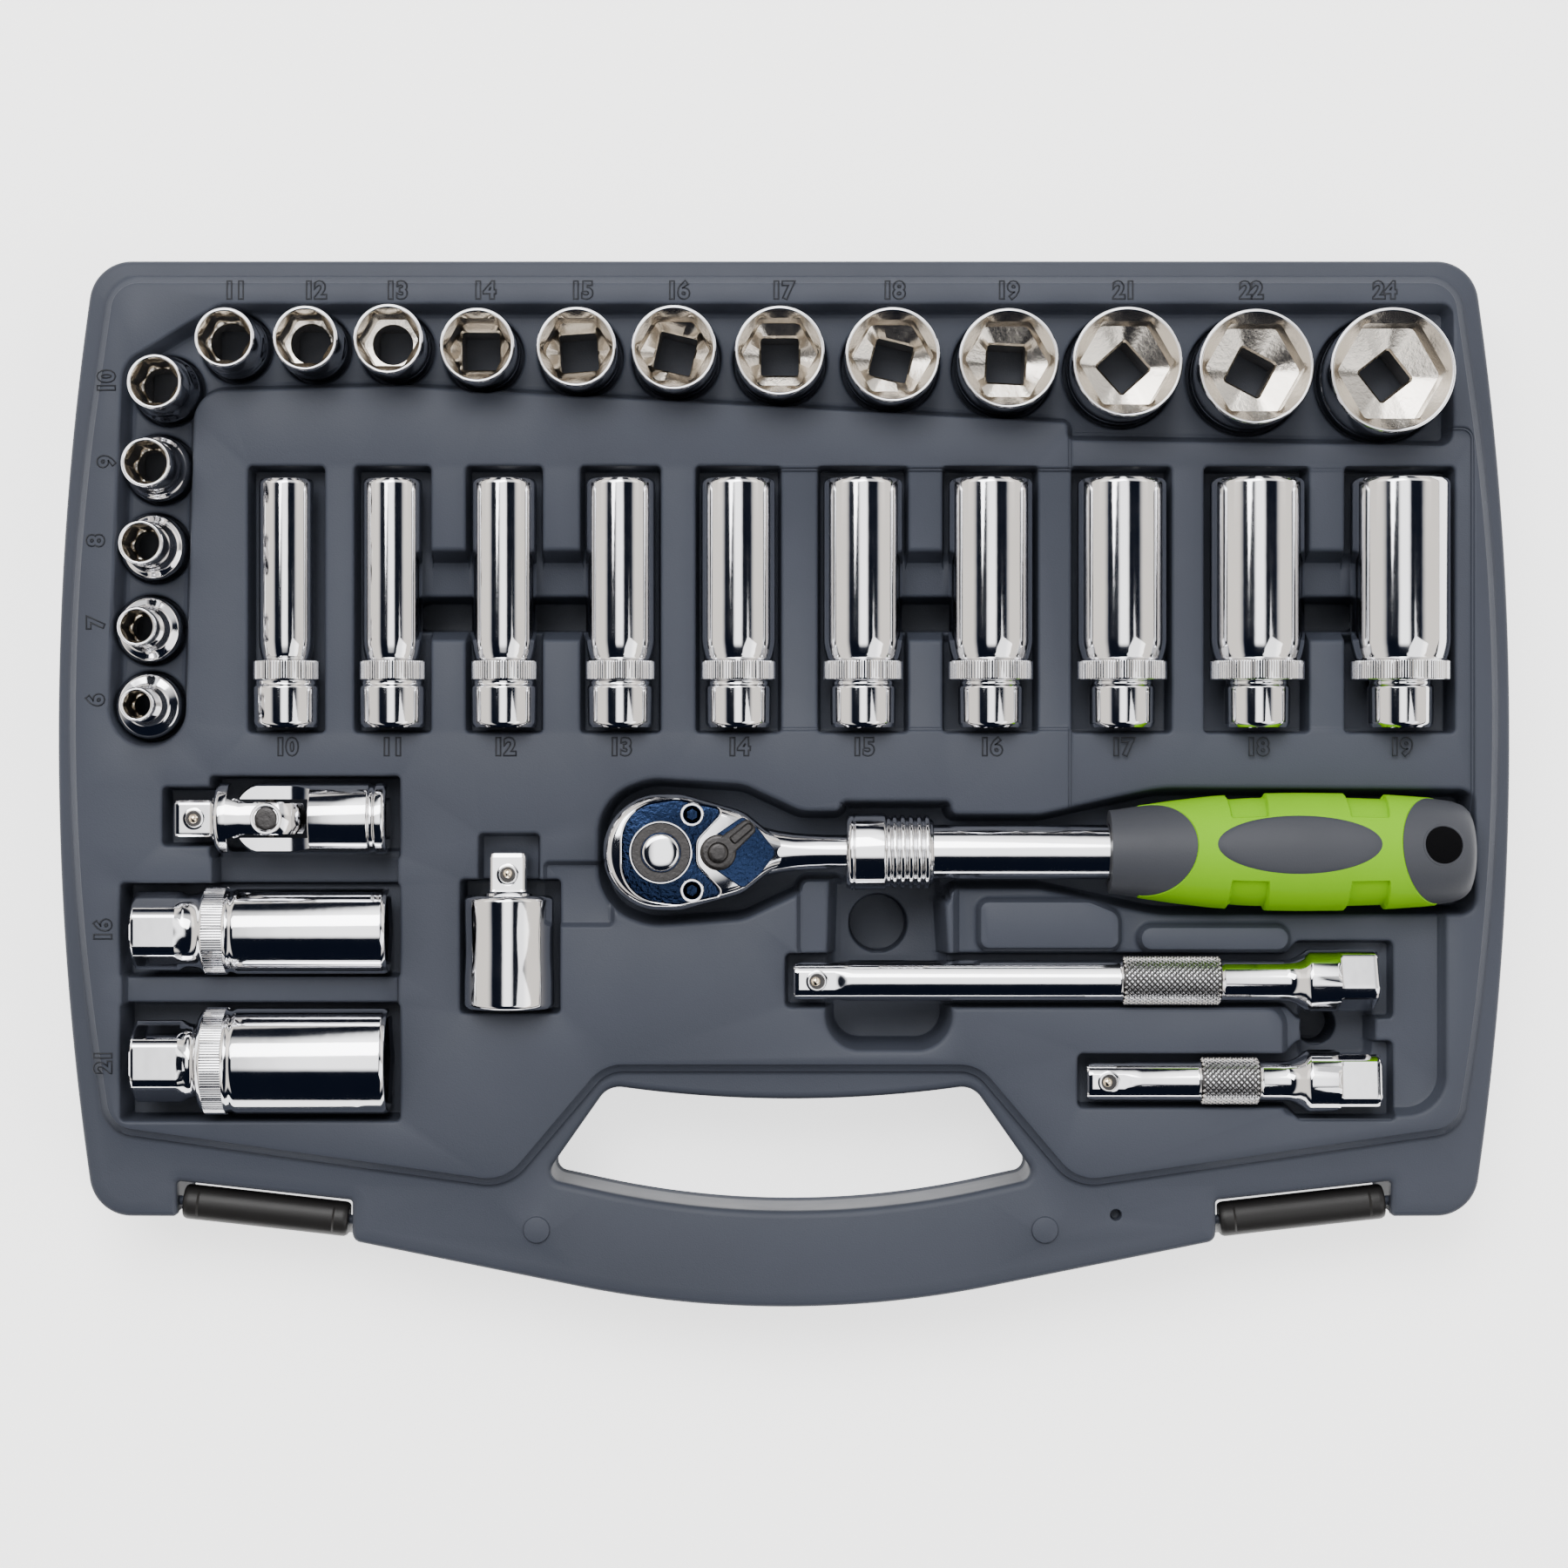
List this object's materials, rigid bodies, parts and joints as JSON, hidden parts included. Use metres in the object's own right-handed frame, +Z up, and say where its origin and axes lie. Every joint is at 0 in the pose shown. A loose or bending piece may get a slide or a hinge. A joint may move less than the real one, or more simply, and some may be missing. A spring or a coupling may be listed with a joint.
{
  "type": "socket wrench set in case",
  "caption": "Three-eighths drive socket wrench set: moulded carry case with swing latches, short and deep hexagon sockets, spark plug sockets, ratchet, bars and adaptors",
  "frame": {"origin": "centre of the case's footprint, on the surface the case rests on", "axes": "+X along the case towards the ratchet's grip end, +Y from the carrying handle towards the hinge side, +Z up out of the tray"},
  "size_m": [0.3768, 0.2714, 0.052],
  "materials": {
    "case_plastic": "fine moulded texture, slate grey",
    "latch_plastic": "satin black",
    "chrome_steel": "polished chrome plating",
    "ball_steel": "bright bearing steel",
    "dark_steel": "black oxide",
    "grip_core_plastic": "satin grey",
    "grip_sleeve_rubber": "satin green soft overmould",
    "insert_rubber": "matt black"
  },
  "bodies": {
    "case": {"case_tray": "case_plastic", "case_rim": "case_plastic", "case_base": "case_plastic"},
    "left_latch": {"latch_left": "latch_plastic"},
    "right_latch": {"latch_right": "latch_plastic"},
    "ratchet": {"ratchet_head": "chrome_steel", "ratchet_cover_plate": "chrome_steel", "ratchet_cover_screw_1": "dark_steel", "ratchet_cover_screw_2": "dark_steel", "ratchet_outer_tube": "chrome_steel", "ratchet_grip_core": "grip_core_plastic", "ratchet_grip_sleeve": "grip_sleeve_rubber"},
    "ratchet_drive": {"ratchet_drive_gear": "dark_steel"},
    "release_button": {"ratchet_release_button": "chrome_steel"},
    "drive_ball": {"ratchet_drive_ball": "ball_steel"},
    "direction_lever": {"ratchet_direction_lever": "dark_steel"},
    "pawl": {"ratchet_pawl": "dark_steel"},
    "lock_collar": {"ratchet_lock_collar": "chrome_steel"},
    "universal_driver": {"universal_driver_yoke": "chrome_steel"},
    "universal_cross": {"universal_cross_block": "chrome_steel", "universal_large_pin": "dark_steel"},
    "universal_socket": {"universal_socket_yoke": "chrome_steel"},
    "universal_ball": {"universal_ball": "ball_steel"},
    "adaptor": {"adaptor_body": "chrome_steel"},
    "adaptor_ball": {"adaptor_ball": "ball_steel"},
    "long_bar": {"extension_bar_150": "chrome_steel"},
    "long_bar_ball": {"extension_bar_150_ball": "ball_steel"},
    "short_bar": {"extension_bar_75": "chrome_steel"},
    "short_bar_ball": {"extension_bar_75_ball": "ball_steel"},
    "spark_socket_16": {"spark_plug_socket_16": "chrome_steel", "spark_plug_socket_16_insert": "insert_rubber"},
    "spark_socket_21": {"spark_plug_socket_21": "chrome_steel", "spark_plug_socket_21_insert": "insert_rubber"},
    "deep_10": {"deep_socket_10": "chrome_steel"},
    "deep_11": {"deep_socket_11": "chrome_steel"},
    "deep_12": {"deep_socket_12": "chrome_steel"},
    "deep_13": {"deep_socket_13": "chrome_steel"},
    "deep_14": {"deep_socket_14": "chrome_steel"},
    "deep_15": {"deep_socket_15": "chrome_steel"},
    "deep_16": {"deep_socket_16": "chrome_steel"},
    "deep_17": {"deep_socket_17": "chrome_steel"},
    "deep_18": {"deep_socket_18": "chrome_steel"},
    "deep_19": {"deep_socket_19": "chrome_steel"},
    "short_06": {"short_socket_6": "chrome_steel"},
    "short_07": {"short_socket_7": "chrome_steel"},
    "short_08": {"short_socket_8": "chrome_steel"},
    "short_09": {"short_socket_9": "chrome_steel"},
    "short_10": {"short_socket_10": "chrome_steel"},
    "short_11": {"short_socket_11": "chrome_steel"},
    "short_12": {"short_socket_12": "chrome_steel"},
    "short_13": {"short_socket_13": "chrome_steel"},
    "short_14": {"short_socket_14": "chrome_steel"},
    "short_15": {"short_socket_15": "chrome_steel"},
    "short_16": {"short_socket_16": "chrome_steel"},
    "short_17": {"short_socket_17": "chrome_steel"},
    "short_18": {"short_socket_18": "chrome_steel"},
    "short_19": {"short_socket_19": "chrome_steel"},
    "short_21": {"short_socket_21": "chrome_steel"},
    "short_22": {"short_socket_22": "chrome_steel"},
    "short_24": {"short_socket_24": "chrome_steel"}
  },
  "joints": [
    {"name": "latch_left_swing", "type": "hinge", "parent": "case", "child": "left_latch", "pos_m": [-0.13485, -0.11116, 0.0255], "axis": [0.9937, -0.1118, 0], "range_deg": [-165, 0]},
    {"name": "latch_right_swing", "type": "hinge", "parent": "case", "child": "right_latch", "pos_m": [0.13485, -0.11116, 0.0255], "axis": [0.9937, 0.1118, 0], "range_deg": [-165, 0]},
    {"name": "button_press", "type": "slide", "parent": "ratchet_drive", "child": "release_button", "axis": [0, 0, -1], "range_m": [0, 0.0022], "stiffness_N_per_m": 400, "springref_m": -0.001},
    {"name": "collar_slide", "type": "slide", "parent": "ratchet", "child": "lock_collar", "axis": [1, 0, 0], "range_m": [0, 0.0034], "stiffness_N_per_m": 600, "springref_m": -0.001},
    {"name": "drive_spin", "type": "hinge", "parent": "ratchet", "child": "ratchet_drive", "pos_m": [-0.0315, -0.0175, 0.037], "axis": [0, 0, 1], "continuous": true},
    {"name": "lever_flip", "type": "hinge", "parent": "ratchet", "child": "direction_lever", "pos_m": [-0.0168, -0.0175, 0.037], "axis": [0, 0, -1], "range_deg": [0, 80]},
    {"name": "pawl_swing", "type": "hinge", "parent": "ratchet", "child": "pawl", "pos_m": [-0.0315, -0.0175, 0.037], "axis": [0, 0, -1], "range_deg": [0, 12]},
    {"name": "drive_ball_press", "type": "slide", "parent": "ratchet_drive", "child": "drive_ball", "axis": [-1, 0, 0], "range_m": [0, 0.00066]},
    {"name": "cross_sideways_swing", "type": "hinge", "parent": "universal_driver", "child": "universal_cross", "pos_m": [-0.1325, -0.0089, 0.035], "axis": [0, 0, -1], "range_deg": [-2, 7]},
    {"name": "socket_end_upward_swing", "type": "hinge", "parent": "universal_cross", "child": "universal_socket", "pos_m": [-0.1325, -0.0089, 0.035], "axis": [0, -1, 0], "range_deg": [0, 45]},
    {"name": "universal_ball_press", "type": "slide", "parent": "universal_driver", "child": "universal_ball", "axis": [0, 0, -1], "range_m": [0, 0.00066], "stiffness_N_per_m": 500, "springref_m": -0.001},
    {"name": "adaptor_ball_press", "type": "slide", "parent": "adaptor", "child": "adaptor_ball", "axis": [0, 0, -1], "range_m": [0, 0.00066], "stiffness_N_per_m": 500, "springref_m": -0.001},
    {"name": "long_bar_ball_press", "type": "slide", "parent": "long_bar", "child": "long_bar_ball", "axis": [0, 0, -1], "range_m": [0, 0.00066], "stiffness_N_per_m": 500, "springref_m": -0.001},
    {"name": "short_bar_ball_press", "type": "slide", "parent": "short_bar", "child": "short_bar_ball", "axis": [0, 0, -1], "range_m": [0, 0.00066], "stiffness_N_per_m": 500, "springref_m": -0.001},
    {"name": "take_out_ratchet", "type": "slide", "parent": "case", "child": "ratchet", "axis": [0, 0, 1], "range_m": [0, 0.06]},
    {"name": "take_out_universal_joint", "type": "slide", "parent": "case", "child": "universal_driver", "axis": [0, 0, 1], "range_m": [0, 0.06]},
    {"name": "take_out_adaptor", "type": "slide", "parent": "case", "child": "adaptor", "axis": [0, 0, 1], "range_m": [0, 0.06]},
    {"name": "take_out_long_bar", "type": "slide", "parent": "case", "child": "long_bar", "axis": [0, 0, 1], "range_m": [0, 0.06]},
    {"name": "take_out_short_bar", "type": "slide", "parent": "case", "child": "short_bar", "axis": [0, 0, 1], "range_m": [0, 0.06]},
    {"name": "take_out_spark_16", "type": "slide", "parent": "case", "child": "spark_socket_16", "axis": [0, 0, 1], "range_m": [0, 0.06]},
    {"name": "take_out_spark_21", "type": "slide", "parent": "case", "child": "spark_socket_21", "axis": [0, 0, 1], "range_m": [0, 0.06]},
    {"name": "take_out_deep_10", "type": "slide", "parent": "case", "child": "deep_10", "axis": [0, 0, 1], "range_m": [0, 0.06]},
    {"name": "take_out_deep_11", "type": "slide", "parent": "case", "child": "deep_11", "axis": [0, 0, 1], "range_m": [0, 0.06]},
    {"name": "take_out_deep_12", "type": "slide", "parent": "case", "child": "deep_12", "axis": [0, 0, 1], "range_m": [0, 0.06]},
    {"name": "take_out_deep_13", "type": "slide", "parent": "case", "child": "deep_13", "axis": [0, 0, 1], "range_m": [0, 0.06]},
    {"name": "take_out_deep_14", "type": "slide", "parent": "case", "child": "deep_14", "axis": [0, 0, 1], "range_m": [0, 0.06]},
    {"name": "take_out_deep_15", "type": "slide", "parent": "case", "child": "deep_15", "axis": [0, 0, 1], "range_m": [0, 0.06]},
    {"name": "take_out_deep_16", "type": "slide", "parent": "case", "child": "deep_16", "axis": [0, 0, 1], "range_m": [0, 0.06]},
    {"name": "take_out_deep_17", "type": "slide", "parent": "case", "child": "deep_17", "axis": [0, 0, 1], "range_m": [0, 0.06]},
    {"name": "take_out_deep_18", "type": "slide", "parent": "case", "child": "deep_18", "axis": [0, 0, 1], "range_m": [0, 0.06]},
    {"name": "take_out_deep_19", "type": "slide", "parent": "case", "child": "deep_19", "axis": [0, 0, 1], "range_m": [0, 0.06]},
    {"name": "take_out_short_06", "type": "slide", "parent": "case", "child": "short_06", "axis": [0, 0, 1], "range_m": [0, 0.05]},
    {"name": "take_out_short_07", "type": "slide", "parent": "case", "child": "short_07", "axis": [0, 0, 1], "range_m": [0, 0.05]},
    {"name": "take_out_short_08", "type": "slide", "parent": "case", "child": "short_08", "axis": [0, 0, 1], "range_m": [0, 0.05]},
    {"name": "take_out_short_09", "type": "slide", "parent": "case", "child": "short_09", "axis": [0, 0, 1], "range_m": [0, 0.05]},
    {"name": "take_out_short_10", "type": "slide", "parent": "case", "child": "short_10", "axis": [0, 0, 1], "range_m": [0, 0.05]},
    {"name": "take_out_short_11", "type": "slide", "parent": "case", "child": "short_11", "axis": [0, 0, 1], "range_m": [0, 0.05]},
    {"name": "take_out_short_12", "type": "slide", "parent": "case", "child": "short_12", "axis": [0, 0, 1], "range_m": [0, 0.05]},
    {"name": "take_out_short_13", "type": "slide", "parent": "case", "child": "short_13", "axis": [0, 0, 1], "range_m": [0, 0.05]},
    {"name": "take_out_short_14", "type": "slide", "parent": "case", "child": "short_14", "axis": [0, 0, 1], "range_m": [0, 0.05]},
    {"name": "take_out_short_15", "type": "slide", "parent": "case", "child": "short_15", "axis": [0, 0, 1], "range_m": [0, 0.05]},
    {"name": "take_out_short_16", "type": "slide", "parent": "case", "child": "short_16", "axis": [0, 0, 1], "range_m": [0, 0.05]},
    {"name": "take_out_short_17", "type": "slide", "parent": "case", "child": "short_17", "axis": [0, 0, 1], "range_m": [0, 0.05]},
    {"name": "take_out_short_18", "type": "slide", "parent": "case", "child": "short_18", "axis": [0, 0, 1], "range_m": [0, 0.05]},
    {"name": "take_out_short_19", "type": "slide", "parent": "case", "child": "short_19", "axis": [0, 0, 1], "range_m": [0, 0.05]},
    {"name": "take_out_short_21", "type": "slide", "parent": "case", "child": "short_21", "axis": [0, 0, 1], "range_m": [0, 0.05]},
    {"name": "take_out_short_22", "type": "slide", "parent": "case", "child": "short_22", "axis": [0, 0, 1], "range_m": [0, 0.05]},
    {"name": "take_out_short_24", "type": "slide", "parent": "case", "child": "short_24", "axis": [0, 0, 1], "range_m": [0, 0.05]}
  ],
  "couplings": [
    {"joint": "pawl_swing", "follows": "lever_flip", "ratio": 0.15},
    {"joint": "drive_ball_press", "follows": "button_press", "ratio": 0.3}
  ]
}
